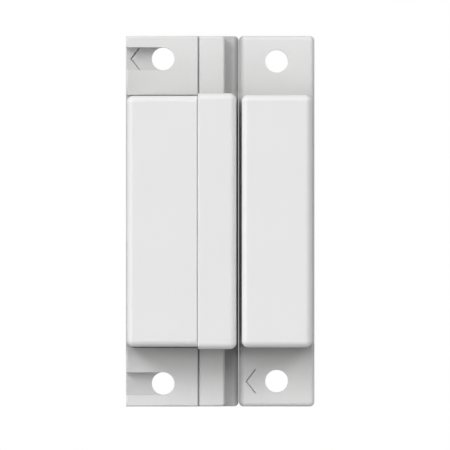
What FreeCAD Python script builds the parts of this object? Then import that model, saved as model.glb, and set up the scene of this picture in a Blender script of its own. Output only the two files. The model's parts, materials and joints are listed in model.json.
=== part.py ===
import FreeCAD, Part
import math
import os
from FreeCAD import Vector

# Surface-mount magnetic door contact: a wide switch unit and a narrower magnet unit,
# side by side on a wall or frame. Millimetres. Z = 0 is the mounting plane and +Z points
# away from it, +Y runs along the long side, +X points from the switch to the magnet.
# The origin is the centre of the footprint. A plan place given as "from the left" is
# measured in +X from its own unit's left edge.

# Overall sizes
unit_length = 63.5
switch_width = 19.3
magnet_width = 12.94
unit_gap = 0.06
cover_top = 12.7
beyond = 1.0  # how far a cutting shape runs past the face that it opens
tiny = 1e-6

# Levels above the mounting plane
base_thickness = 1.6
deck_thickness = 0.6
strip_thickness = 1.7
tab_thickness = 2.0
magnet_tab_top = 3.3

# Moulded shells
shell_wall = 1.2
draft = 0.1
cover_round = 1.1
inner_round = 0.4
edge_break = 0.2
tab_edge_round = 0.35
strip_edge_round = 0.45
seam_gap = 0.05
lid_end_gap = 0.15

# Switch unit in plan, from its left edge
terminal_side_width = 12.3
strip_width = 4.6
strip_corner_radius = 0.65
lip_corner_radius = 0.8
lid_inset = 0.2
reed_cover_overrun = 0.4
lip_reveal = 0.3

# Fixing holes
fixing_hole_radius = 1.95
switch_hole_from_left = 6.37
switch_hole_from_end = 3.91
magnet_hole_from_end = 4.32

# Alignment arrows: a grooved notch, and a floor one step lower inside it
arrow_step = 0.15
groove_width = 0.25
groove_depth = 0.45
slot_arrow_tip_from_left = 0.75
slot_arrow_reach = 1.5
tab_arrow_tip_from_left = 1.15
tab_arrow_length = 1.8
tab_arrow_width = 4.1

# Cable entry in the lid's left wall
cable_entry_width = 7.2
cable_entry_height = 4.6
entry_chamfer = 0.2

# Terminal block
terminal_count = 4
terminal_pitch = 9.0
barrier_thickness = 1.0
head_side_clearance = 0.2
screw_headroom = 0.6
side_wall_setdown = 0.4
tongue_width = 4.0
tongue_thickness = 1.0
tongue_clearance = 0.1
tongue_from_block = 0.7
skirt_clearance = 0.15

# Terminal plates
plate_thickness = 0.6
plate_edge_clearance = 0.15
plate_corner = 0.4
bush_radius = 2.2
bush_length = 1.8
bush_clearance = 0.1
tail_width = 1.5
tail_thickness = 0.5
tail_slot_clearance = 0.05
tail_overhang = 0.6
tail_root = 1.0
link_width = 2.4
link_thickness = 0.4
link_clearance = 0.1

# Terminal screws and the clamp washers that they carry
screw_radius = 1.45
thread_pitch = 0.5
thread_depth = 0.2
thread_clearance = 0.05
screw_turns = 3
head_radius = 2.5
head_height = 1.8
head_edge = 0.4
recess_span = 3.2
recess_slot = 0.8
recess_depth = 0.9
screw_tip_gap = 0.8
screw_hole_radius = 1.8
screw_hole_floor = 0.8
washer_length = 5.6
washer_thickness = 0.8
washer_hole_clearance = 0.15
washer_side_clearance = 0.15
washer_lip = 0.35
washer_corner = 0.5
washer_edge_round = 0.15

# Reed switch
tube_radius = 1.3
tube_bore = 0.95
tube_length = 16.0
seal_length = 1.5
seal_neck = 0.5
lead_radius = 0.3
lead_overrun = 0.8
blade_width = 1.3
blade_thickness = 0.2
blade_overlap = 1.6
contact_gap = 0.02
blade_root_gap = 0.05
solder_film = 0.08
solder_radius = 0.7
solder_height = 0.8

# Magnet unit
magnet_cover_length = 43.25
magnet_cover_inset = 0.4
magnet_corner_radius = 0.8
magnet_edge_fillet = 0.75
bar_radius = 3.2
bar_length = 32.0
bar_chamfer = 0.4
bar_height = 7.2
cradle_thickness = 1.2
cradle_place = 12.0
potting_recess = 0.3

# Worked out from the sizes above
left_edge = -(switch_width + unit_gap + magnet_width) / 2
magnet_left = left_edge + switch_width + unit_gap
half_length = unit_length / 2
deck_top = base_thickness + deck_thickness
tab_top = base_thickness + tab_thickness
strip_top = base_thickness + strip_thickness
switch_hole_x = left_edge + switch_hole_from_left
magnet_hole_x = magnet_left + magnet_width / 2
terminal_right = left_edge + terminal_side_width
reed_left = terminal_right + seam_gap
reed_right = left_edge + switch_width - lip_reveal
switch_hole_spacing = unit_length - 2 * switch_hole_from_end
magnet_hole_spacing = unit_length - 2 * magnet_hole_from_end
lid_left = left_edge + lid_inset
block_right = terminal_right - shell_wall
block_left = block_right - 2 * (head_radius + head_side_clearance)
terminal_x = (block_left + block_right) / 2
terminal_places = [(i - (terminal_count - 1) / 2) * terminal_pitch for i in range(terminal_count)]
block_half = terminal_count * terminal_pitch / 2 + barrier_thickness / 2
tongue_face = block_half + tongue_from_block + tongue_thickness
lid_half = tongue_face + tongue_clearance + shell_wall
reed_half = lid_half + reed_cover_overrun
screw_rise = screw_turns * thread_pitch
head_top = cover_top - shell_wall - screw_headroom - screw_rise
washer_top = head_top - head_height
plate_top = washer_top - washer_thickness
block_top = plate_top - plate_thickness
side_wall_top = head_top - side_wall_setdown
screw_hole_bottom = base_thickness + screw_hole_floor
screw_tip = screw_hole_bottom + screw_tip_gap
reed_x = (reed_left + reed_right) / 2
tail_top = block_top + tail_thickness
reed_height = tail_top + solder_film + lead_radius
tail_end = reed_x + tail_overhang


def block(x0, x1, y0, y1, z0, z1):
    return Part.makeBox(x1 - x0, y1 - y0, z1 - z0, Vector(x0, y0, z0))


def rod(x, y, z0, z1, radius):
    return Part.makeCylinder(radius, z1 - z0, Vector(x, y, z0))


def edges(shape, wanted):
    return [edge for edge in shape.Edges if wanted(edge.BoundBox)]


def flat_at(box, z):
    return abs(box.ZMin - z) < tiny and abs(box.ZMax - z) < tiny


def upright(box):
    # An upright edge, or one of a tapered cover's corners.
    return box.ZLength > 5 * max(box.XLength, box.YLength)


def rounded_edges(cover, outside):
    # The top and corner edges of a cover, without those that stand against the seam.
    return edges(cover, lambda b: outside(b) and (flat_at(b, cover_top) or upright(b)))


def prism(points, z0, z1):
    outline = Part.makePolygon([Vector(x, y, z0) for x, y in points + points[:1]])
    return Part.Face(outline).extrude(Vector(0, 0, z1 - z0))


def notch(tip, back, middle, half, z0, z1):
    # Groove in the shape of an arrow head that points to -X.
    return prism([(tip, middle), (back, middle - half), (back + groove_width, middle - half),
                  (tip + groove_width, middle), (back + groove_width, middle + half), (back, middle + half)],
                 z0, z1)


def edge_bevel(x, z, size, length):
    # Three-sided bar along Y that bevels the edge at x and z. A negative size cuts towards -X.
    y = -length / 2
    corners = [Vector(x, y, z), Vector(x + size, y, z), Vector(x, y, z - abs(size))]
    return Part.Face(Part.makePolygon(corners + corners[:1])).extrude(Vector(0, length, 0))


def tapered(low, high, z0, z1):
    # Flat-sided block between two rectangles, each given as x0, x1, y0, y1.
    rings = []
    for (x0, x1, y0, y1), z in ((low, z0), (high, z1)):
        rings.append([Vector(x0, y0, z), Vector(x1, y0, z), Vector(x1, y1, z), Vector(x0, y1, z)])
    bottom, top = rings
    loops = [bottom[::-1], top]
    for i in range(4):
        j = (i + 1) % 4
        loops.append([bottom[i], bottom[j], top[j], top[i]])
    faces = [Part.Face(Part.makePolygon(loop + loop[:1])) for loop in loops]
    return Part.Solid(Part.Shell(faces))


def save(shape, node):
    solids = shape.Solids
    result = solids[0] if len(solids) == 1 else Part.makeCompound(solids)
    result.exportStep("parts/" + node + ".step")


def switch_holes(z0, z1):
    places = (-switch_hole_spacing / 2, switch_hole_spacing / 2)
    return Part.makeCompound([rod(switch_hole_x, y, z0, z1, fixing_hole_radius) for y in places])


def magnet_holes(z0, z1):
    places = (-magnet_hole_spacing / 2, magnet_hole_spacing / 2)
    return Part.makeCompound([rod(magnet_hole_x, y, z0, z1, fixing_hole_radius) for y in places])


def switch_base():
    # Plate over the whole footprint. Its right edge shows as the lip along the magnet side.
    right = left_edge + switch_width
    plate = block(left_edge, right, -half_length, half_length, 0, base_thickness)
    corners = edges(plate, lambda b: upright(b) and b.XMin > right - tiny)
    plate = plate.makeFillet(lip_corner_radius, corners)
    rim = edges(plate, lambda b: flat_at(b, base_thickness))
    plate = plate.makeFillet(edge_break, rim)
    # Arrow in the floor of the upper slot.
    middle = switch_hole_spacing / 2
    tip = left_edge + slot_arrow_tip_from_left
    back = tip + slot_arrow_reach
    low = middle - fixing_hole_radius
    high = middle + fixing_hole_radius
    step = [(tip, middle), (back, low), (switch_hole_x, low), (switch_hole_x, high), (back, high)]
    plate = plate.cut(prism(step, base_thickness - arrow_step, base_thickness + beyond))
    plate = plate.cut(notch(tip, back, middle, fixing_hole_radius, base_thickness - groove_depth,
                            base_thickness + beyond))
    return plate.cut(switch_holes(-beyond, base_thickness + beyond))


def tail_slots(clearance):
    # One slot for each outer terminal's tail, through both walls at the seam.
    half = tail_width / 2 + clearance
    z0 = block_top - clearance
    z1 = tail_top + clearance
    cuts = []
    for y in (terminal_places[0], terminal_places[-1]):
        cuts.append(block(block_right - tail_root, reed_x, y - half, y + half, z0, z1))
    return Part.makeCompound(cuts)


def link_channel(clearance):
    # Straight strip under the plates of the two middle terminals, between their bushes.
    half = link_width / 2 + clearance
    reach = terminal_pitch / 2 - bush_radius - link_clearance
    return block(terminal_x - half, terminal_x + half, -reach - clearance, reach + clearance,
                 block_top - link_thickness, block_top)


def terminal_body():
    # Mounting tabs at both ends, a lower deck for the lid between them, and the terminal block.
    tabs = block(left_edge, terminal_right, -half_length, half_length, base_thickness, tab_top)
    rim = edges(tabs, lambda b: flat_at(b, tab_top) and b.XMin < terminal_right - tiny)
    body = tabs.makeFillet(tab_edge_round, rim)
    well_half = lid_half + lid_end_gap
    body = body.cut(block(left_edge - beyond, terminal_right + beyond, -well_half, well_half,
                          deck_top, tab_top + beyond))
    slot_half = fixing_hole_radius
    for y in (-switch_hole_spacing / 2, switch_hole_spacing / 2):
        slot = block(left_edge - beyond, switch_hole_x, y - slot_half, y + slot_half, 0, tab_top + beyond)
        body = body.cut(slot)
    body = body.cut(switch_holes(0, tab_top + beyond))
    # Lead-in for the cable along the left edge of the deck.
    body = body.cut(edge_bevel(left_edge, deck_top, entry_chamfer, cable_entry_width))
    # Terminal block, its barriers and the wall that carries the lid's skirt.
    side_half = lid_half - shell_wall
    pieces = [
        block(block_left, block_right, -block_half, block_half, deck_top, block_top),
        block(block_right, terminal_right, -side_half, side_half, deck_top, side_wall_top)
    ]
    for i in range(terminal_count + 1):
        y = (i - terminal_count / 2) * terminal_pitch
        half = barrier_thickness / 2
        pieces.append(block(block_left, block_right, y - half, y + half, block_top, side_wall_top))
    for side in (-1, 1):
        y0, y1 = sorted((side * tongue_face, side * (tongue_face - tongue_thickness)))
        x0 = terminal_x - tongue_width / 2
        pieces.append(block(x0, x0 + tongue_width, y0, y1, deck_top, plate_top))
    body = body.fuse(pieces).removeSplitter()
    for y in terminal_places:
        body = body.cut(rod(terminal_x, y, block_top - bush_length - bush_clearance, block_top + beyond,
                            bush_radius + bush_clearance))
        body = body.cut(rod(terminal_x, y, screw_hole_bottom, block_top, screw_hole_radius))
    body = body.cut(link_channel(link_clearance))
    return body.cut(tail_slots(tail_slot_clearance))


def terminal_cover():
    # Lid: a box open underneath. Its right side is a short skirt above the block's side wall.
    right = terminal_right
    low = (lid_left, right, -lid_half, lid_half)
    high = (lid_left + draft, right, -lid_half + draft, lid_half - draft)
    lid = tapered(low, high, deck_top, cover_top)
    lid = lid.makeFillet(cover_round, rounded_edges(lid, lambda b: b.XMin < right - tiny))
    lid = lid.cut(edge_bevel(right, cover_top, -edge_break, unit_length))
    inside = block(lid_left + shell_wall, right - shell_wall, -lid_half + shell_wall,
                   lid_half - shell_wall, deck_top - beyond, cover_top - shell_wall)
    hollow = inside.makeFillet(inner_round, edges(inside, lambda b: flat_at(b, cover_top - shell_wall)))
    lid = lid.cut(hollow)
    relief_half = lid_half - shell_wall + skirt_clearance
    lid = lid.cut(block(right - shell_wall - skirt_clearance, right + beyond, -relief_half, relief_half,
                        deck_top - beyond, side_wall_top + skirt_clearance))
    half_entry = cable_entry_width / 2
    entry = block(lid_left - beyond, lid_left + shell_wall + beyond, -half_entry, half_entry,
                  deck_top - beyond, deck_top + cable_entry_height)
    return lid.cut(entry)


def reed_cavity():
    return block(reed_left + shell_wall, reed_right - shell_wall, -reed_half + shell_wall,
                 reed_half - shell_wall, base_thickness, cover_top - shell_wall)


def reed_housing():
    # Raised cover over the reed switch, moulded in one with the low strips at both ends.
    low = (reed_left, reed_right, -reed_half, reed_half)
    high = (reed_left, reed_right - draft, -reed_half + draft, reed_half - draft)
    cover = tapered(low, high, base_thickness, cover_top)
    cover = cover.makeFillet(cover_round, rounded_edges(cover, lambda b: b.XMax > reed_left + tiny))
    cover = cover.cut(edge_bevel(reed_left, cover_top, edge_break, unit_length))
    strip = block(reed_left, reed_left + strip_width, -half_length, half_length, base_thickness, strip_top)
    ends = edges(strip, lambda b: upright(b) and b.XMin > reed_left + tiny)
    strip = strip.makeFillet(strip_corner_radius, ends)
    rim = edges(strip, lambda b: flat_at(b, strip_top))
    strip = strip.makeFillet(strip_edge_round, rim)
    body = cover.fuse(strip).removeSplitter()
    body = body.cut(reed_cavity())
    return body.cut(tail_slots(tail_slot_clearance))


def terminal_plate(index):
    # Threaded plate with a bush below it. The outer two carry a tail to the reed switch.
    y = terminal_places[index]
    half = (terminal_pitch - barrier_thickness) / 2 - plate_edge_clearance
    plate = block(block_left, block_right, y - half, y + half, block_top, plate_top)
    corners = edges(plate, upright)
    plate = plate.makeFillet(plate_corner, corners)
    plate = plate.fuse(rod(terminal_x, y, block_top - bush_length, plate_top, bush_radius))
    if index in (0, terminal_count - 1):
        half_tail = tail_width / 2
        tail = block(block_right - tail_root, tail_end, y - half_tail, y + half_tail, block_top, tail_top)
        plate = plate.fuse(tail)
    plate = plate.removeSplitter()
    return plate.cut(rod(terminal_x, y, 0, cover_top, screw_radius + thread_clearance))


def clamp_washer(index):
    # Square washer under the screw head, with two edges turned down a little to grip the wire.
    y = terminal_places[index]
    half_x = (block_right - block_left) / 2 - washer_side_clearance
    half_y = washer_length / 2
    washer = block(terminal_x - half_x, terminal_x + half_x, y - half_y, y + half_y, plate_top, washer_top)
    corners = edges(washer, upright)
    washer = washer.makeFillet(washer_corner, corners)
    rim = edges(washer, lambda b: flat_at(b, washer_top))
    washer = washer.makeFillet(washer_edge_round, rim)
    relief = block(terminal_x - half_x + washer_lip, terminal_x + half_x - washer_lip,
                   y - half_y - beyond, y + half_y + beyond, plate_top - beyond, plate_top + washer_lip / 2)
    washer = washer.cut(relief)
    return washer.cut(rod(terminal_x, y, 0, cover_top, screw_radius + washer_hole_clearance))


def terminal_screw(index):
    # Turned profile with thread grooves, then a cross recess in the head.
    y = terminal_places[index]
    profile = [(0, screw_tip), (screw_radius - thread_depth, screw_tip)]
    z = screw_tip + thread_pitch / 2
    while z + thread_pitch < washer_top - thread_pitch:
        profile.append((screw_radius, z))
        profile.append((screw_radius - thread_depth, z + thread_pitch / 2))
        z += thread_pitch
    profile += [(screw_radius, z), (screw_radius, washer_top), (head_radius, washer_top),
                (head_radius, head_top - head_edge), (head_radius - head_edge, head_top), (0, head_top)]
    points = [Vector(r, 0, z) for r, z in profile + profile[:1]]
    screw = Part.Face(Part.makePolygon(points)).revolve(Vector(0, 0, 0), Vector(0, 0, 1), 360)
    half_span = recess_span / 2
    half_slot = recess_slot / 2
    floor = head_top - recess_depth
    cross = block(-half_span, half_span, -half_slot, half_slot, floor, head_top + beyond)
    cross = cross.fuse(block(-half_slot, half_slot, -half_span, half_span, floor, head_top + beyond))
    screw = screw.cut(cross)
    screw.translate(Vector(terminal_x, y, 0))
    return screw


def tamper_link():
    return link_channel(0)


def turned_along_y(profile):
    # Solid of revolution about the reed's axis from (y, radius) points.
    points = [Vector(reed_x, y, reed_height + r) for y, r in profile + profile[:1]]
    axis_point = Vector(reed_x, 0, reed_height)
    return Part.Face(Part.makePolygon(points)).revolve(axis_point, Vector(0, 1, 0), 360)


def tube_outside():
    # Glass tube drawn in to a neck at each end, where it is sealed on the lead.
    half = tube_length / 2
    shoulder = tube_radius - seal_neck
    return turned_along_y([
        (-half, 0), (-half, seal_neck), (-half + shoulder, tube_radius),
        (half - shoulder, tube_radius), (half, seal_neck), (half, 0)
    ])


def reed_tube():
    inner = tube_length / 2 - seal_length
    taper = tube_bore - lead_radius
    bore = turned_along_y([
        (-inner, 0), (-inner, lead_radius), (-inner + taper, tube_bore),
        (inner - taper, tube_bore), (inner, lead_radius), (inner, 0)
    ])
    return tube_outside().cut([bore, reed_lead(-1), reed_lead(1)])


def reed_lead(side):
    start = tube_length / 2 - seal_length
    end = terminal_places[-1] + lead_overrun
    base = Vector(reed_x, side * start, reed_height)
    return Part.makeCylinder(lead_radius, end - start, base, Vector(0, side, 0))


def reed_blade(side):
    # side -1 is the fixed blade, below the contact plane; side 1 is the moving one, above it.
    root = tube_length / 2 - seal_length
    if side > 0:
        root -= blade_root_gap
    tip = -blade_overlap / 2
    y0, y1 = sorted((side * tip, side * root))
    half = blade_width / 2
    z0, z1 = sorted((side * contact_gap / 2, side * (contact_gap / 2 + blade_thickness)))
    blade = block(reed_x - half, reed_x + half, y0, y1, reed_height + z0, reed_height + z1)
    # Narrowed root, where the flattened blade runs into the round lead.
    neck = lead_radius - blade_thickness / 2
    length = tube_bore
    cuts = []
    for edge in (-1, 1):
        x_out = reed_x + edge * (half + beyond / 2)
        x_in = reed_x + edge * neck
        cuts.append(prism([
            (x_out, side * (root - 2 * length)), (x_in, side * (root - length)),
            (x_in, side * (root + beyond)), (x_out, side * (root + beyond))
        ], reed_height - beyond, reed_height + beyond))
    return blade.cut(cuts)


def solder_joint(side):
    y = side * terminal_places[-1]
    bead = Part.makeCone(solder_radius, solder_radius / 2, solder_height, Vector(reed_x, y, tail_top))
    return bead.cut(reed_lead(side))


def reed_potting(inner_parts):
    # The tube's own space is taken out whole, so that nothing fills its bore.
    return reed_cavity().cut([tube_outside()] + inner_parts)


def magnet_cavity(z0):
    left = magnet_left + magnet_cover_inset + shell_wall
    right = magnet_left + magnet_width - magnet_cover_inset - shell_wall
    half = magnet_cover_length / 2 - shell_wall
    return block(left, right, -half, half, z0, cover_top - shell_wall)


def bar_magnet():
    start = Vector(magnet_hole_x, -bar_length / 2, bar_height)
    bar = Part.makeCylinder(bar_radius, bar_length, start, Vector(0, 1, 0))
    ends = edges(bar, lambda b: b.YLength < tiny)
    return bar.makeChamfer(bar_chamfer, ends)


def magnet_housing():
    # Plate with a tab at each end, moulded in one with the raised cover.
    right = magnet_left + magnet_width
    plate = block(magnet_left, right, -half_length, half_length, 0, magnet_tab_top)
    plate = plate.makeFillet(magnet_corner_radius, edges(plate, upright))
    plate = plate.makeFillet(magnet_edge_fillet, edges(plate, lambda b: flat_at(b, magnet_tab_top)))
    x0 = magnet_left + magnet_cover_inset
    x1 = right - magnet_cover_inset
    half = magnet_cover_length / 2
    low = (x0, x1, -half, half)
    high = (x0 + draft, x1 - draft, -half + draft, half - draft)
    cover = tapered(low, high, magnet_tab_top / 2, cover_top)
    cover = cover.makeFillet(cover_round, rounded_edges(cover, lambda b: True))
    body = plate.fuse(cover).removeSplitter()
    cavity = magnet_cavity(-beyond)
    for side in (-1, 1):
        y = side * cradle_place
        cradle = block(magnet_left, right, y - cradle_thickness / 2, y + cradle_thickness / 2,
                       bar_height, cover_top)
        cavity = cavity.cut(cradle)
    body = body.cut(cavity)
    body = body.cut(bar_magnet())
    # Arrow on the lower tab, pointing to the switch unit.
    y = -magnet_hole_spacing / 2
    tip = magnet_left + tab_arrow_tip_from_left
    back = tip + tab_arrow_length
    half_arrow = tab_arrow_width / 2
    arrow = [(tip, y), (back, y - half_arrow), (back, y + half_arrow)]
    body = body.cut(prism(arrow, magnet_tab_top - arrow_step, magnet_tab_top + beyond))
    body = body.cut(notch(tip, back - groove_width, y, half_arrow, magnet_tab_top - groove_depth,
                          magnet_tab_top + beyond))
    return body.cut(magnet_holes(-beyond, magnet_tab_top + beyond))


def magnet_potting(housing, bar):
    return magnet_cavity(potting_recess).cut(housing).cut(bar)


os.makedirs("parts", exist_ok=True)

save(switch_base(), "switch_base")
save(terminal_body(), "terminal_body")
save(terminal_cover(), "terminal_cover")
save(reed_housing(), "reed_housing")
save(tamper_link(), "tamper_link")

plates = [terminal_plate(i) for i in range(terminal_count)]
for number, plate in enumerate(plates, 1):
    save(plate, f"terminal_plate_{number}")
    save(clamp_washer(number - 1), f"clamp_washer_{number}")
    save(terminal_screw(number - 1), f"terminal_screw_{number}")

leads = [reed_lead(-1), reed_lead(1)]
joints = [solder_joint(-1), solder_joint(1)]
save(reed_tube(), "reed_tube")
save(reed_blade(-1), "fixed_reed_blade")
save(reed_blade(1), "moving_reed_blade")
save(leads[0], "fixed_reed_lead")
save(leads[1], "moving_reed_lead")
save(joints[0], "fixed_lead_solder")
save(joints[1], "moving_lead_solder")
save(reed_potting(leads + joints + [plates[0], plates[-1]]), "reed_potting")

housing = magnet_housing()
bar = bar_magnet()
save(housing, "magnet_housing")
save(bar, "bar_magnet")
save(magnet_potting(housing, bar), "magnet_potting")
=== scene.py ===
import bpy
import bmesh
import json
import math
from mathutils import Matrix, Vector


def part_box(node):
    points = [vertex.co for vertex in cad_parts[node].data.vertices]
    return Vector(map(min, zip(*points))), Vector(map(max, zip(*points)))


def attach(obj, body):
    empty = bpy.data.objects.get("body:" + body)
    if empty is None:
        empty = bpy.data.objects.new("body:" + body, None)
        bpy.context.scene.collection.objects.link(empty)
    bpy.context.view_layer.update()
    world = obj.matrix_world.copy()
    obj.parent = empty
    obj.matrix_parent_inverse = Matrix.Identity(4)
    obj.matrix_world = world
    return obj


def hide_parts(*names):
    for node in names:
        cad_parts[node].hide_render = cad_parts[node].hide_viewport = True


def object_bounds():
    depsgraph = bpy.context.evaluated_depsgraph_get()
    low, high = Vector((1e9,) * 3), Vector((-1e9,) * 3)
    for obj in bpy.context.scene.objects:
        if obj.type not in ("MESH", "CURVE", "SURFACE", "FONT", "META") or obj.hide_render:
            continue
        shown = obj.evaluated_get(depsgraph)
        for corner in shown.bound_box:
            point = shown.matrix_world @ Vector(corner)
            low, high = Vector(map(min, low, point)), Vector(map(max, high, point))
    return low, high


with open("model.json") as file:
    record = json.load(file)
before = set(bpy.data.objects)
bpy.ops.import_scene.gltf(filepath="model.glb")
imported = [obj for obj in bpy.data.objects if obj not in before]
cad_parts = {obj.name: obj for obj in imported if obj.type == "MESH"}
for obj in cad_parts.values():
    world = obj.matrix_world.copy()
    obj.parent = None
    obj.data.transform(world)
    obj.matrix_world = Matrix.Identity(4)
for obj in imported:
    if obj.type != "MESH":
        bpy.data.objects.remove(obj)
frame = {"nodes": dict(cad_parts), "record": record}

cad_low, cad_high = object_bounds()
MM = 0.001
SAME_SPOT = 0.001 * MM
SHARP = math.radians(32)

# Middle of the gap between the two units, and a line just past the end walls of the magnet cover.
GAP_MIDDLE = (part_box("switch_base")[1].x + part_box("magnet_housing")[0].x) / 2
COVER_END = 21.75 * MM


# ---------------------------------------------------------------- shader maths

class Value:
    """A number or colour socket in a material, with the arithmetic that the patterns use."""

    def __init__(self, graph, socket):
        self.graph = graph
        self.socket = socket

    def maths(self, operation, *others):
        return self.graph.node("ShaderNodeMath", {"operation": operation}, [self, *others])[0]

    def __add__(self, other):
        return self.maths("ADD", other)

    def __radd__(self, other):
        return self.maths("ADD", other)

    def __sub__(self, other):
        return self.maths("SUBTRACT", other)

    def __rsub__(self, other):
        return self.graph.node("ShaderNodeMath", {"operation": "SUBTRACT"}, [other, self])[0]

    def __mul__(self, other):
        return self.maths("MULTIPLY", other)

    def __truediv__(self, other):
        return self.maths("DIVIDE", other)

    def band(self, low, high):
        """0 below low, 1 above high, smooth between."""
        settings = {"interpolation_type": "SMOOTHSTEP"}
        inputs = {"Value": self, "From Min": low, "From Max": high}
        return self.graph.node("ShaderNodeMapRange", settings, inputs)[0]


class Graph:
    """Nodes of a material or of a shape. Every node comes from node()."""

    def node(self, kind, settings=None, inputs=None):
        made = self.tree.nodes.new(kind)
        for key, value in (settings or {}).items():
            if key == "stops":
                self.set_stops(made.color_ramp, value)
            else:
                setattr(made, key, value)
        pairs = inputs.items() if isinstance(inputs, dict) else enumerate(inputs or [])
        for key, value in pairs:
            if isinstance(value, (Value, list)):
                for single in value if isinstance(value, list) else [value]:
                    self.tree.links.new(single.socket, made.inputs[key])
            else:
                made.inputs[key].default_value = value
        return [Value(self, socket) for socket in made.outputs]

    @staticmethod
    def set_stops(ramp, stops):
        while len(ramp.elements) < len(stops):
            ramp.elements.new(0.5)
        for element, (place, colour) in zip(ramp.elements, stops):
            element.position = place
            element.color = colour


class Sheet(Graph):
    """One material."""

    def __init__(self, name):
        self.material = bpy.data.materials.new(name)
        self.material.use_nodes = True
        self.tree = self.material.node_tree
        self.tree.nodes.clear()

    def place(self, centre=(0, 0, 0), stretch=(1, 1, 1), turn=(0, 0, 0)):
        """Object coordinates in metres, centred, turned and stretched."""
        coordinates = self.node("ShaderNodeTexCoord")[3]
        centred = self.node("ShaderNodeVectorMath", {"operation": "SUBTRACT"}, [coordinates, centre])[0]
        inputs = {"Vector": centred, "Rotation": turn, "Scale": stretch}
        return self.node("ShaderNodeMapping", None, inputs)[0]

    def noise(self, vector, size, detail=3.0, rough=0.55):
        """Noise with blobs about size metres across, from 0 to 1."""
        inputs = {"Vector": vector, "Scale": 1 / size, "Detail": detail, "Roughness": rough}
        return self.node("ShaderNodeTexNoise", {"noise_dimensions": "3D"}, inputs)[0]

    def cells(self, vector, size):
        """Distance to the nearest random point, in cells about size metres across."""
        return self.node("ShaderNodeTexVoronoi", None, {"Vector": vector, "Scale": 1 / size})[0]

    def blend(self, factor, low, high):
        """Mix of two colours."""
        return self.node("ShaderNodeMix", {"data_type": "RGBA"}, {0: factor, 6: low, 7: high})[2]

    def bump(self, height, depth, strength=1.0, over=None):
        """Surface relief: height from 0 to 1 stands for depth metres."""
        inputs = {"Height": height, "Distance": depth, "Strength": strength}
        if over is not None:
            inputs["Normal"] = over
        return self.node("ShaderNodeBump", None, inputs)[0]

    def finish(self, **sockets):
        """Principled surface. Keywords are socket names with underscores for spaces."""
        inputs = {key.replace("_", " "): value for key, value in sockets.items()}
        shader = self.node("ShaderNodeBsdfPrincipled", None, inputs)[0]
        self.node("ShaderNodeOutputMaterial", None, {"Surface": shader})
        return self.material


def grey(level, tint=(1.0, 1.0, 1.0)):
    return tuple(level * t for t in tint) + (1.0,)


class Recipe(Graph):
    """A Geometry Nodes tree that works an outline up into a solid, from sizes with names."""

    def __init__(self, name, *sizes):
        self.tree = bpy.data.node_groups.new(name, "GeometryNodeTree")
        kinds = {"Outline": "NodeSocketGeometry", **dict.fromkeys(sizes, "NodeSocketFloat")}
        kinds["Finish"] = "NodeSocketMaterial"
        sockets = self.tree.interface
        self.key = {label: sockets.new_socket(label, in_out="INPUT", socket_type=kind).identifier
                    for label, kind in kinds.items()}
        sockets.new_socket("Solid", in_out="OUTPUT", socket_type="NodeSocketGeometry")
        self.given = dict(zip(kinds, self.node("NodeGroupInput")))

    def spot(self, x, y, z):
        return self.node("ShaderNodeCombineXYZ", None, [x, y, z])[0]

    def placed(self, solid, at=(0, 0, 0), turn=(0, 0, 0), scale=(1, 1, 1)):
        inputs = {"Geometry": solid, "Translation": at, "Rotation": turn, "Scale": scale}
        return self.node("GeometryNodeTransform", None, inputs)[0]

    def cut(self, solid, cutter):
        settings = {"operation": "DIFFERENCE", "solver": "EXACT"}
        return self.node("GeometryNodeMeshBoolean", settings, {"Mesh 1": solid, "Mesh 2": cutter})[0]

    def merged(self, solid):
        inputs = {"Geometry": solid, "Distance": SAME_SPOT / 2}
        return self.node("GeometryNodeMergeByDistance", None, inputs)[0]

    def end(self, solid):
        """Smooth faces with the sharp edges kept, instances realised, material set."""
        smooth = self.node("GeometryNodeSetShadeSmooth", {"domain": "FACE"}, {"Geometry": solid})[0]
        sharp = self.node("GeometryNodeInputMeshEdgeAngle")[0].maths("GREATER_THAN", SHARP)
        inputs = {"Geometry": smooth, "Selection": sharp, "Shade Smooth": False}
        edged = self.node("GeometryNodeSetShadeSmooth", {"domain": "EDGE"}, inputs)[0]
        whole = self.node("GeometryNodeRealizeInstances", None, [edged])[0]
        inputs = {"Geometry": whole, "Material": self.given["Finish"]}
        self.node("NodeGroupOutput", None, self.node("GeometryNodeSetMaterial", None, inputs)[:1])

    def make(self, outline, finish, edge=0.0, **sizes):
        """Plain mesh of the recipe, with its sharp edges broken where edge is given."""
        source = bpy.data.objects.new("work", outline)
        bpy.context.scene.collection.objects.link(source)
        modifier = source.modifiers.new("recipe", "NODES")
        modifier.node_group = self.tree
        modifier[self.key["Finish"]] = finish
        for label, value in sizes.items():
            modifier[self.key[label.replace("_", " ")]] = float(value)
        if edge:
            break_edges(source, edge)
        return baked(source)


# ---------------------------------------------------------------- finishes

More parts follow.
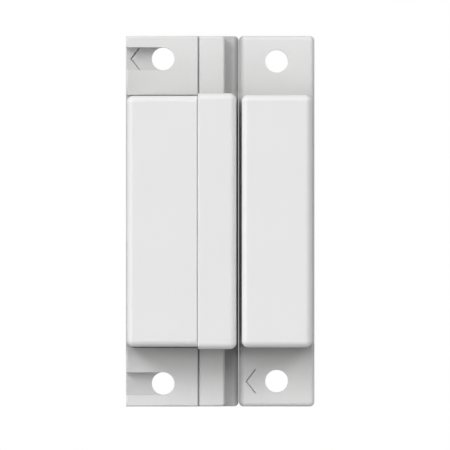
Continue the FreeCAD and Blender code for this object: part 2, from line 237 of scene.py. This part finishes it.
def moulded_plastic(name, level, roughness):
    """Off-white moulded plastic: fine spark-eroded grain, faint flow marks and uneven gloss. Painted
    shade darkens the low parts, most near the covers, and more in the gap and below the covers' lower ends."""
    sheet = Sheet(name)
    place = sheet.place()
    clouds = sheet.noise(place, 11 * MM, 3.0)
    flow = sheet.noise(sheet.place(stretch=(1, 0.2, 1)), 1.8 * MM, 2.0)
    grain = sheet.noise(place, 0.16 * MM, 2.0, 0.6)
    specks = 1 - sheet.cells(place, 0.9 * MM).band(0.02, 0.06)
    tone = clouds.band(0.25, 0.75) * 0.7 + flow * 0.3
    unshaded = sheet.blend(tone, grey(level * 0.985), grey(level, (1.0, 0.999, 0.995)))
    across, along, height = sheet.node("ShaderNodeSeparateXYZ", None, [place])
    end = along.maths("ABSOLUTE")
    low_parts = 1 - height.band(4 * MM, 7 * MM)
    by_walls = 1 - end.band(20 * MM, 31 * MM)
    # Painted shade, held in the variable dust: the low parts drawn darker, a little everywhere and most
    # near the covers, fading out towards the tab ends.
    dust = low_parts * (0.3 + by_walls * 0.7)
    low_shaded = sheet.blend(dust, unshaded, grey(level * 0.755, (1.0, 0.998, 0.992)))
    # Painted shadow of each cover's lower end wall, laid on the low parts just below it.
    below = along * -1
    corner = below.band(20.5 * MM, 21.3 * MM) * (1 - below.band(COVER_END, COVER_END + 2.2 * MM))
    # Painted shade on the low parts beside the gap between the two units, past the covers' ends.
    beside_gap = 1 - (across - GAP_MIDDLE).maths("ABSOLUTE").band(0.3 * MM, 1.0 * MM)
    gap = beside_gap * end.band(21 * MM, 22.5 * MM)
    # Both painted shades darken the colour towards a grey at 0.3 of its level.
    with_painted_shade = sheet.blend(low_parts * (corner * 0.4 + gap * 0.7), low_shaded, grey(level * 0.3))
    colour = sheet.blend(specks * 0.05, with_painted_shade, grey(level * 0.8))
    gloss = roughness + (flow - 0.5) * 0.08 + (grain - 0.5) * 0.1
    waves = sheet.bump(flow, 0.004 * MM, 0.6)
    relief = sheet.bump(grain, 0.006 * MM, 0.7, waves)
    return sheet.finish(Base_Color=colour, Roughness=gloss, Normal=relief, IOR=1.53)


def stamped_metal(name, bright, dull, roughness, stretch):
    """Worked metal: fine streaks, small stains and a little tarnish in the low spots."""
    sheet = Sheet(name)
    streaks = sheet.noise(sheet.place(stretch=stretch), 0.12 * MM, 3.0, 0.6)
    stains = sheet.noise(sheet.place(), 1.7 * MM, 4.0, 0.6).band(0.45, 0.75)
    pits = sheet.cells(sheet.place(), 0.5 * MM).band(0.05, 0.14)
    colour = sheet.blend(stains * 0.6 + streaks * 0.25, bright, dull)
    gloss = roughness + streaks * 0.16 + stains * 0.14
    scratches = sheet.bump(streaks, 0.002 * MM, 0.6)
    relief = sheet.bump(pits, 0.004 * MM, 0.5, scratches)
    return sheet.finish(Base_Color=colour, Roughness=gloss, Normal=relief, Metallic=1.0)


def sealed_glass(name):
    """Green-tinted glass of the reed tube, drawn and slightly wavy."""
    sheet = Sheet(name)
    waves = sheet.noise(sheet.place(stretch=(1, 0.3, 1)), 1.2 * MM, 2.0)
    tint = sheet.blend(waves, (0.62, 0.84, 0.7, 1), (0.72, 0.9, 0.78, 1))
    relief = sheet.bump(waves, 0.01 * MM, 0.4)
    return sheet.finish(Base_Color=tint, Roughness=waves * 0.05 + 0.03, Transmission_Weight=1.0, IOR=1.51,
                        Normal=relief)


def poured_resin(name):
    """Dark epoxy that was poured and set: soft ripples, trapped bubbles, dust."""
    sheet = Sheet(name)
    ripples = sheet.noise(sheet.place(), 4 * MM, 2.0)
    bubbles = sheet.cells(sheet.place(), 1.9 * MM).band(0.08, 0.2)
    dust = sheet.noise(sheet.place(), 0.25 * MM, 3.0).band(0.55, 0.75)
    colour = sheet.blend(ripples * 0.5 + dust * 0.3, grey(0.018), grey(0.05, (1.0, 0.99, 0.96)))
    relief = sheet.bump(bubbles, 0.05 * MM, 0.6, sheet.bump(ripples, 0.08 * MM, 0.7))
    return sheet.finish(Base_Color=colour, Roughness=0.24 + dust * 0.3, Normal=relief, IOR=1.55)


def cast_magnet(name):
    """Ground bar of cast magnet alloy: grinding rings round the bar, open pores."""
    sheet = Sheet(name)
    rings = sheet.noise(sheet.place(stretch=(0.1, 1, 0.1)), 0.15 * MM, 3.0)
    pores = sheet.cells(sheet.place(), 0.8 * MM).band(0.05, 0.16)
    colour = sheet.blend(rings, grey(0.12), grey(0.2, (1.0, 0.98, 0.96)))
    relief = sheet.bump(pores, 0.03 * MM, 0.7, sheet.bump(rings, 0.004 * MM, 0.6))
    return sheet.finish(Base_Color=colour, Roughness=0.34 + rings * 0.2, Normal=relief, Metallic=1.0)


# Streaks run along Y on strip metal, and every way on metal that was turned or melted.
EVERY_WAY = (1, 1, 1)
ALONG_Y = (1, 0.06, 1)

finishes = {
    "housing_plastic": moulded_plastic("housing plastic", 0.74, 0.5),
    "base_plastic": moulded_plastic("base plastic", 0.64, 0.46),
    "plated_brass": stamped_metal(
        "stamped brass", (0.83, 0.62, 0.3, 1), (0.5, 0.34, 0.14, 1), 0.26, ALONG_Y),
    "zinc_steel": stamped_metal(
        "zinc screw steel", (0.8, 0.81, 0.82, 1), (0.5, 0.5, 0.48, 1), 0.22, EVERY_WAY),
    "clamp_steel": stamped_metal(
        "pressed clamp steel", (0.72, 0.73, 0.74, 1), (0.42, 0.42, 0.42, 1), 0.3, ALONG_Y),
    "reed_glass": sealed_glass("reed glass"),
    "reed_alloy": stamped_metal(
        "reed alloy", (0.72, 0.69, 0.62, 1), (0.45, 0.42, 0.36, 1), 0.25, ALONG_Y),
    "solder": stamped_metal(
        "tin solder", (0.78, 0.78, 0.79, 1), (0.5, 0.5, 0.5, 1), 0.2, EVERY_WAY),
    "potting_resin": poured_resin("potting resin"),
    "magnet_metal": cast_magnet("magnet alloy"),
}

slot_of = {row["node"]: row["material_slot"] for row in frame["record"]["subparts"]}
bodies = frame["record"]["behaviour"]["bodies"]
body_of = {node: body for body, nodes in bodies.items() for node in nodes}

for node, piece in frame["nodes"].items():
    piece.data.materials.clear()
    piece.data.materials.append(finishes[slot_of[node]])


# ---------------------------------------------------------------- making pieces

def add_piece(name, mesh, node):
    """New visible piece that stands for a CAD node and rides on its body."""
    piece = bpy.data.objects.new(name, mesh)
    bpy.context.scene.collection.objects.link(piece)
    mesh.materials.clear()
    mesh.materials.append(finishes[slot_of[node]])
    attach(piece, body_of[node])
    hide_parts(node)
    return piece


def baked(source):
    """Plain mesh of an object with its modifiers applied, which are then removed."""
    bpy.context.view_layer.update()
    evaluated = source.evaluated_get(bpy.context.evaluated_depsgraph_get())
    mesh = bpy.data.meshes.new_from_object(evaluated)
    bpy.data.objects.remove(source)
    return mesh


def break_edges(source, edge):
    """Small round on every sharp edge, with the flat faces kept flat in the shading."""
    bevel = source.modifiers.new("edge round", "BEVEL")
    bevel.width = edge
    bevel.segments = 2
    bevel.limit_method = "ANGLE"
    bevel.angle_limit = SHARP
    bevel.harden_normals = True
    bevel.miter_outer = "MITER_ARC"
    weights = source.modifiers.new("face weights", "WEIGHTED_NORMAL")
    weights.keep_sharp = True


def divide(work, faces, edges, verts, spot, normal):
    """Cuts these faces in two where a plane through spot crosses them."""
    geometry = [*faces, *edges, *verts]
    bmesh.ops.bisect_plane(work, geom=geometry, dist=1e-9, plane_co=spot, plane_no=normal)


def welded(node, lines=()):
    """A CAD node's shape as one joined surface with flat faces whole. Long rounds are divided at
    these distances along Y, so that the shading at one end does not run along the whole round."""
    work = bmesh.new()
    work.from_mesh(frame["nodes"][node].data)
    bmesh.ops.remove_doubles(work, verts=work.verts, dist=SAME_SPOT)
    bmesh.ops.dissolve_limit(work, angle_limit=math.radians(0.3), verts=work.verts, edges=work.edges)
    for along in lines:
        divide(work, work.faces, work.edges, work.verts, (0, along, 0), (0, 1, 0))
    for face in work.faces:
        face.smooth = True
    return work


def as_mesh(work):
    mesh = bpy.data.meshes.new("work")
    work.to_mesh(mesh)
    work.free()
    return mesh


def softened(work, edge):
    """Mesh of a welded shape with every sharp edge broken by a small round."""
    source = bpy.data.objects.new("work", as_mesh(work))
    bpy.context.scene.collection.objects.link(source)
    break_edges(source, edge)
    return baked(source)


def rounded(corners, steps=5):
    """Points of an outline. A corner given as (x, y, radius) becomes an arc."""
    points = []
    for i, (x, y, *radius) in enumerate(corners):
        here = Vector((x, y))
        if not radius:
            points.append(here)
            continue
        back = (Vector(corners[i - 1][:2]) - here).normalized()
        ahead = (Vector(corners[(i + 1) % len(corners)][:2]) - here).normalized()
        half = back.angle(ahead) / 2
        centre = here + (back + ahead).normalized() * radius[0] / math.sin(half)
        reach = radius[0] / math.tan(half)
        first, last = here + back * reach - centre, here + ahead * reach - centre
        start = math.atan2(first.y, first.x)
        sweep = math.remainder(math.atan2(last.y, last.x) - start, math.tau)
        for step in range(steps + 1):
            angle = start + sweep * step / steps
            points.append(centre + Vector((math.cos(angle), math.sin(angle))) * radius[0])
    return points


def ring(radius, steps=32):
    angles = [i * math.tau / steps for i in range(steps)]
    return [Vector((radius * math.cos(angle), radius * math.sin(angle))) for angle in angles]


def flat_loops(loops):
    """Mesh of edges only: closed loops that lie flat."""
    mesh = bpy.data.meshes.new("outline")
    points, edges = [], []
    for loop in loops:
        start, count = len(points), len(loop)
        points += [(p.x, p.y, 0) for p in loop]
        edges += [(start + i, start + (i + 1) % count) for i in range(count)]
    mesh.from_pydata(points, edges, [])
    return mesh


def upright_line(line):
    """Mesh of edges only: a line that stands in the XZ plane, for turning about Z."""
    mesh = bpy.data.meshes.new("outline")
    mesh.from_pydata([(p.x, 0, p.y) for p in line], [(i, i + 1) for i in range(len(line) - 1)], [])
    return mesh


def turned_solid(recipe):
    """Turns an upright outline about Z, and cuts a right-hand thread between two heights."""
    given = recipe.given
    rows = recipe.node("GeometryNodeAttributeDomainSize", None, [given["Outline"]])[0]
    sides = given["Sides"]
    grid = recipe.node("GeometryNodeMeshGrid", None, {"Vertices X": sides + 1, "Vertices Y": rows})[0]
    index = recipe.node("GeometryNodeInputIndex")[0]
    column = (index / rows).maths("FLOOR")
    inputs = {"Geometry": given["Outline"], "Value": recipe.node("GeometryNodeInputPosition")[0],
              "Index": index - column * rows}
    corner = recipe.node("GeometryNodeSampleIndex", {"data_type": "FLOAT_VECTOR"}, inputs)[0]
    radius, _, height = recipe.node("ShaderNodeSeparateXYZ", None, [corner])
    turn = column / sides
    pitch, low, high = given["Pitch"], given["Thread low"], given["Thread high"]
    crest = ((height / pitch - turn).maths("FRACT") * 2 - 1).maths("ABSOLUTE")
    threaded = height.band(low, low + pitch) * (1 - height.band(high - pitch, high))
    radius = radius - (1 - crest.band(0.12, 0.95)) * threaded * given["Thread depth"]
    angle = turn * math.tau
    spot = recipe.spot(radius * angle.maths("COSINE"), radius * angle.maths("SINE"), height)
    inputs = {"Geometry": grid, "Position": spot}
    return recipe.merged(recipe.node("GeometryNodeSetPosition", None, inputs)[0])


TURNING = ("Sides", "Pitch", "Thread depth", "Thread low", "Thread high")


def turned_recipe():
    recipe = Recipe("turned piece", *TURNING)
    recipe.end(turned_solid(recipe))
    return recipe


def screw_recipe():
    """Turned screw, its head cut by a tapered cross recess and one slot right across."""
    recipe = Recipe("terminal screw", *TURNING, "Head top", "Recess width", "Recess depth", "Slot width",
                    "Slot depth")
    given = recipe.given
    screw = turned_solid(recipe)
    wide = given["Recess width"] * math.sqrt(0.5)
    deep = given["Recess depth"]
    inputs = {"Vertices": 4, "Radius Top": wide * 1.3, "Radius Bottom": wide * 0.25, "Depth": deep * 2}
    wedge = recipe.placed(recipe.node("GeometryNodeMeshCone", None, inputs)[0], turn=(0, 0, math.pi / 4))
    for scale in ((1, 0.3, 1), (0.3, 1, 1)):
        thin = recipe.placed(wedge, scale=scale)
        screw = recipe.cut(screw, recipe.placed(thin, recipe.spot(0, 0, given["Head top"] - deep)))
    size = recipe.spot(given["Recess width"] * 3, given["Slot width"], given["Slot depth"] * 2)
    bar = recipe.node("GeometryNodeMeshCube", None, {"Size": size})[0]
    recipe.end(recipe.cut(screw, recipe.placed(bar, recipe.spot(0, 0, given["Head top"]))))
    return recipe


def washer_recipe():
    """Stamped plate with a hole, relieved underneath between two lips and grooved to grip a wire."""
    recipe = Recipe("clamp washer", "Thickness", "Relief width", "Relief depth", "Groove pitch",
                    "Groove depth")
    well_past = 20 * MM
    given = recipe.given
    curve = recipe.node("GeometryNodeMeshToCurve", None, [given["Outline"]])[0]
    flat = recipe.node("GeometryNodeFillCurve", {"mode": "NGONS"}, {"Curve": curve})[0]
    lift = recipe.spot(0, 0, given["Thickness"])
    inputs = {"Mesh": flat, "Offset": lift, "Offset Scale": 1.0, "Individual": False}
    raised = recipe.node("GeometryNodeExtrudeMesh", None, inputs)[0]
    under = recipe.node("GeometryNodeFlipFaces", None, [flat])[0]
    plate = recipe.merged(recipe.node("GeometryNodeJoinGeometry", None, [[raised, under]])[0])
    size = recipe.spot(given["Relief width"], well_past, given["Relief depth"] * 2)
    plate = recipe.cut(plate, recipe.node("GeometryNodeMeshCube", None, {"Size": size})[0])
    pitch = given["Groove pitch"]
    count = (given["Relief width"] / pitch).maths("FLOOR")
    start = recipe.spot((count - 1) * pitch * -0.5, 0, given["Relief depth"])
    inputs = {"Count": count, "Start Location": start, "Offset": recipe.spot(pitch, 0, 0)}
    row = recipe.node("GeometryNodeMeshLine", None, inputs)[0]
    radius = given["Groove depth"]
    inputs = {"Vertices": 4, "Radius Top": radius, "Radius Bottom": radius, "Depth": well_past}
    bar = recipe.node("GeometryNodeMeshCone", None, inputs)[0]
    laid = recipe.placed(recipe.placed(bar, (0, 0, -well_past / 2)), turn=(math.pi / 2, 0, 0))
    grooves = recipe.node("GeometryNodeInstanceOnPoints", None, {"Points": row, "Instance": laid})[0]
    recipe.end(recipe.cut(plate, grooves))
    return recipe


def moved(mesh, at, along_y=False):
    """Puts a piece in its place, after laying a turned one along Y if asked."""
    if along_y:
        mesh.transform(Matrix.Rotation(-math.pi / 2, 4, "X"))
    mesh.transform(Matrix.Translation(at))
    return mesh


def middle_of(node):
    low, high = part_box(node)
    return (low + high) / 2, high - low


# ---------------------------------------------------------------- moulded shells and stamped plates

for node, edge, lines in (
    ("switch_base", 0.07, ()), ("terminal_body", 0.07, ()), ("terminal_cover", 0.08, ()),
    ("reed_housing", 0.07, ()), ("magnet_housing", 0.08, (-COVER_END, COVER_END))
):
    add_piece(node + "_moulding", softened(welded(node, lines), edge * MM), node)

for node in ("tamper_link", "terminal_plate_1", "terminal_plate_2", "terminal_plate_3", "terminal_plate_4"):
    add_piece(node + "_stamping", softened(welded(node), 0.04 * MM), node)


# ---------------------------------------------------------------- potting

def sunken_underside(work, sink, spacing):
    """Rules a potting's open underside into small fields and lets it sink between the walls."""
    low = Vector([min(vert.co[axis] for vert in work.verts) for axis in range(3)])
    high = Vector([max(vert.co[axis] for vert in work.verts) for axis in range(3)])

    def is_under(vert):
        return abs(vert.co.z - low.z) < SAME_SPOT

    for axis in range(2):
        fields = int((high[axis] - low[axis]) / spacing)
        normal = Vector((axis == 0, axis == 1, 0))
        for i in range(1, fields):
            faces = [face for face in work.faces if all(is_under(vert) for vert in face.verts)]
            edges = {edge for face in faces for edge in face.edges}
            verts = {vert for face in faces for vert in face.verts}
            divide(work, faces, edges, verts, low + (high - low) * (i / fields), normal)
    for vert in work.verts:
        if not is_under(vert) or any(edge.calc_face_angle(0) > SHARP for edge in vert.link_edges):
            continue
        x, y, _ = vert.co
        wall = min(x - low.x, high.x - x, y - low.y, high.y - y)
        ripple = math.sin(y / MM * 0.9) * math.cos(x / MM * 0.7) * 0.15
        vert.co.z += sink * (1 - math.exp(-wall / (0.8 * MM))) * (1 + ripple)
    return work


resin = as_mesh(sunken_underside(welded("magnet_potting"), 0.12 * MM, 0.9 * MM))
add_piece("magnet_potting_resin", resin, "magnet_potting")
add_piece("reed_potting_resin", softened(welded("reed_potting"), 0.02 * MM), "reed_potting")


# ---------------------------------------------------------------- screws and clamp washers

turned, screws, washers = turned_recipe(), screw_recipe(), washer_recipe()
SCREW_RADIUS = 1.45 * MM
THREAD_PITCH = 0.5 * MM
THREAD_DEPTH = 0.2 * MM
WASHER_CORNER = 0.5 * MM
WASHER_HOLE_RADIUS = SCREW_RADIUS + 0.15 * MM
WASHER_LIP = 0.35 * MM


def terminal_screw(number):
    """Screw with a threaded shank up to its clamp washer. Each is left turned by its own angle."""
    node = f"terminal_screw_{number}"
    at, size = middle_of(node)
    height, head = size.z, size.x / 2
    under = height - (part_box(node)[1].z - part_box(f"clamp_washer_{number}")[1].z)
    rows = int((under - THREAD_PITCH) / (THREAD_PITCH / 8))
    shank = [(SCREW_RADIUS, THREAD_PITCH * (0.5 + i / 8)) for i in range(rows)]
    profile = rounded([
        (0, 0), (SCREW_RADIUS * 0.8, 0, 0.1 * MM), *shank, (SCREW_RADIUS, under), (head, under, 0.1 * MM),
        (head, height - 0.75 * MM, 0.5 * MM), (head * 0.62, height, 1.2 * MM), (0, height)
    ])
    mesh = screws.make(
        upright_line(profile), finishes[slot_of[node]], 0.03 * MM, Sides=64, Pitch=THREAD_PITCH,
        Thread_depth=THREAD_DEPTH, Thread_low=THREAD_DEPTH, Thread_high=under - THREAD_PITCH,
        Head_top=height, Recess_width=2.9 * MM, Recess_depth=1.0 * MM, Slot_width=0.55 * MM,
        Slot_depth=0.5 * MM
    )
    mesh.transform(Matrix.Rotation(math.radians(23 + 41 * number), 4, "Z"))
    add_piece(node + "_turned", moved(mesh, (at.x, at.y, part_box(node)[0].z)), node)


def clamp_washer(number):
    node = f"clamp_washer_{number}"
    at, size = middle_of(node)
    half_x, half_y = size.x / 2, size.y / 2
    plan = rounded([
        (-half_x, -half_y, WASHER_CORNER), (half_x, -half_y, WASHER_CORNER),
        (half_x, half_y, WASHER_CORNER), (-half_x, half_y, WASHER_CORNER)
    ])
    mesh = washers.make(
        flat_loops([plan, ring(WASHER_HOLE_RADIUS)]), finishes[slot_of[node]], 0.05 * MM,
        Thickness=size.z, Relief_width=size.x - 2 * WASHER_LIP, Relief_depth=WASHER_LIP / 2,
        Groove_pitch=0.6 * MM, Groove_depth=0.15 * MM
    )
    add_piece(node + "_pressing", moved(mesh, (at.x, at.y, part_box(node)[0].z)), node)


for number in range(1, 5):
    terminal_screw(number)
    clamp_washer(number)


# ---------------------------------------------------------------- reed switch and magnet

def turned_along_y(node, corners, name, sides):
    """Round piece about its own axis along Y, from (radius, distance from its middle) corners. A piece
    with a bore has an outline that closes on itself."""
    at, _ = middle_of(node)
    points = rounded(corners)
    if corners[0][0] > 0:
        points.append(points[0])
    mesh = turned.make(upright_line(points), finishes[slot_of[node]], Sides=sides, Pitch=1.0,
                       Thread_depth=0.0, Thread_low=-1.0, Thread_high=-1.0)
    add_piece(name, moved(mesh, at, along_y=True), node)


def reed_tube(lead):
    """Glass drawn in at both ends and sealed on leads of this radius."""
    _, tube = middle_of("reed_tube")
    end, outer = tube.y / 2, tube.x / 2
    inner = outer - 0.35 * MM
    seal = end - 1.5 * MM
    shoulder, taper = 0.8 * MM, 0.65 * MM
    turned_along_y("reed_tube", [
        (lead, -end), (0.5 * MM, -end, 0.08 * MM), (outer, -end + shoulder, 0.6 * MM),
        (outer, end - shoulder, 0.6 * MM), (0.5 * MM, end, 0.08 * MM), (lead, end), (lead, seal),
        (inner, seal - taper, 0.5 * MM), (inner, taper - seal, 0.5 * MM), (lead, -seal)
    ], "reed_tube_glass", 48)


def reed_lead(node, end, radius):
    turned_along_y(node, [(0, -end), (radius, -end, 0.1 * MM), (radius, end, 0.1 * MM), (0, end)],
                   node + "_wire", 32)


def bar_magnet():
    _, bar = middle_of("bar_magnet")
    end, radius, chamfer, edge = bar.y / 2, bar.x / 2, 0.4 * MM, 0.12 * MM
    turned_along_y("bar_magnet", [
        (0, -end), (radius - chamfer, -end, edge), (radius, chamfer - end, edge),
        (radius, end - chamfer, edge), (radius - chamfer, end, edge), (0, end)
    ], "bar_magnet_casting", 96)


_, lead = middle_of("fixed_reed_lead")
reed_tube(lead.x / 2)
reed_lead("fixed_reed_lead", lead.y / 2, lead.x / 2)
reed_lead("moving_reed_lead", lead.y / 2, lead.x / 2)
bar_magnet()

for node, made in (
    ("fixed_reed_blade", "_strip"), ("moving_reed_blade", "_strip"),
    ("fixed_lead_solder", "_bead"), ("moving_lead_solder", "_bead")
):
    add_piece(node + made, softened(welded(node), 0.02 * MM), node)


# ---------------------------------------------------------------- studio

def soft_light(name, azimuth, elevation, strength, spread):
    """Wide far light. Azimuth 0 comes from +Y and 90 from +X, in degrees."""
    data = bpy.data.lights.new(name, "SUN")
    data.angle = math.radians(spread)
    data.energy = strength
    light = bpy.data.objects.new(name, data)
    bpy.context.scene.collection.objects.link(light)
    around, up = math.radians(azimuth), math.radians(elevation)
    source = Vector((math.sin(around) * math.cos(up), math.cos(around) * math.cos(up), math.sin(up)))
    light.rotation_euler = source.to_track_quat("Z", "Y").to_euler()


def studio_floor(size, glow):
    """White lightbox: bright to look at, but it throws back only as much light as grey paper."""
    mesh = bpy.data.meshes.new("studio floor")
    half, level = size / 2, cad_low.z - 0.02 * MM
    corners = [(-half, -half, level), (half, -half, level), (half, half, level), (-half, half, level)]
    mesh.from_pydata(corners, [], [(0, 1, 2, 3)])
    floor = bpy.data.objects.new("studio_floor", mesh)
    bpy.context.scene.collection.objects.link(floor)
    sheet = Sheet("white paper")
    mottle = sheet.noise(sheet.place(), 30 * MM)
    paper = sheet.blend(mottle, grey(0.48), grey(0.52))
    matt = sheet.node("ShaderNodeBsdfDiffuse", None, {"Color": paper})[0]
    lit = sheet.node("ShaderNodeEmission", None, {"Strength": glow})[0]
    seen = sheet.node("ShaderNodeLightPath")[0]
    surface = sheet.node("ShaderNodeMixShader", None, [seen, matt, lit])[0]
    sheet.node("ShaderNodeOutputMaterial", None, {"Surface": surface})
    mesh.materials.append(sheet.material)


def studio_sky(strength):
    world = bpy.data.worlds.new("studio sky")
    world.use_nodes = True
    backdrop = world.node_tree.nodes["Background"]
    backdrop.inputs["Color"].default_value = (1, 1, 1, 1)
    backdrop.inputs["Strength"].default_value = strength
    bpy.context.scene.world = world


def studio_camera(width, shift_x, shift_y, plane, lens, sensor=36.0):
    """Straight above the object, far enough to be almost free of perspective."""
    data = bpy.data.cameras.new("camera")
    data.lens = lens
    data.sensor_width = sensor
    data.clip_end = 100
    camera = bpy.data.objects.new("camera", data)
    bpy.context.scene.collection.objects.link(camera)
    centre = (cad_low + cad_high) / 2
    camera.location = (centre.x + shift_x, centre.y + shift_y, plane + width * lens / sensor)
    bpy.context.scene.camera = camera


studio_camera(77.1 * MM, 0.83 * MM, -0.65 * MM, 3.3 * MM, 900.0)
for name, azimuth, elevation, strength, spread in (
    ("left window", 270, 38, 1.455, 28),
    ("upper left window", 315, 38, 1.444, 28),
    ("upper right panel", 45, 38, 0.82, 28),
    ("lower right panel", 135, 38, 0.4, 28),
    ("overhead panel", 0, 68, 0.48, 16),
    ("lower panel", 180, 42, 0.27, 28),
    ("far low panel", 0, 14, 0.3, 28),
    ("right low panel", 90, 14, 0.4, 28)
):
    soft_light(name, azimuth, elevation, strength, spread)
studio_sky(0.02)
studio_floor(3.0, 1.0)
bpy.context.scene.view_settings.view_transform = "Standard"
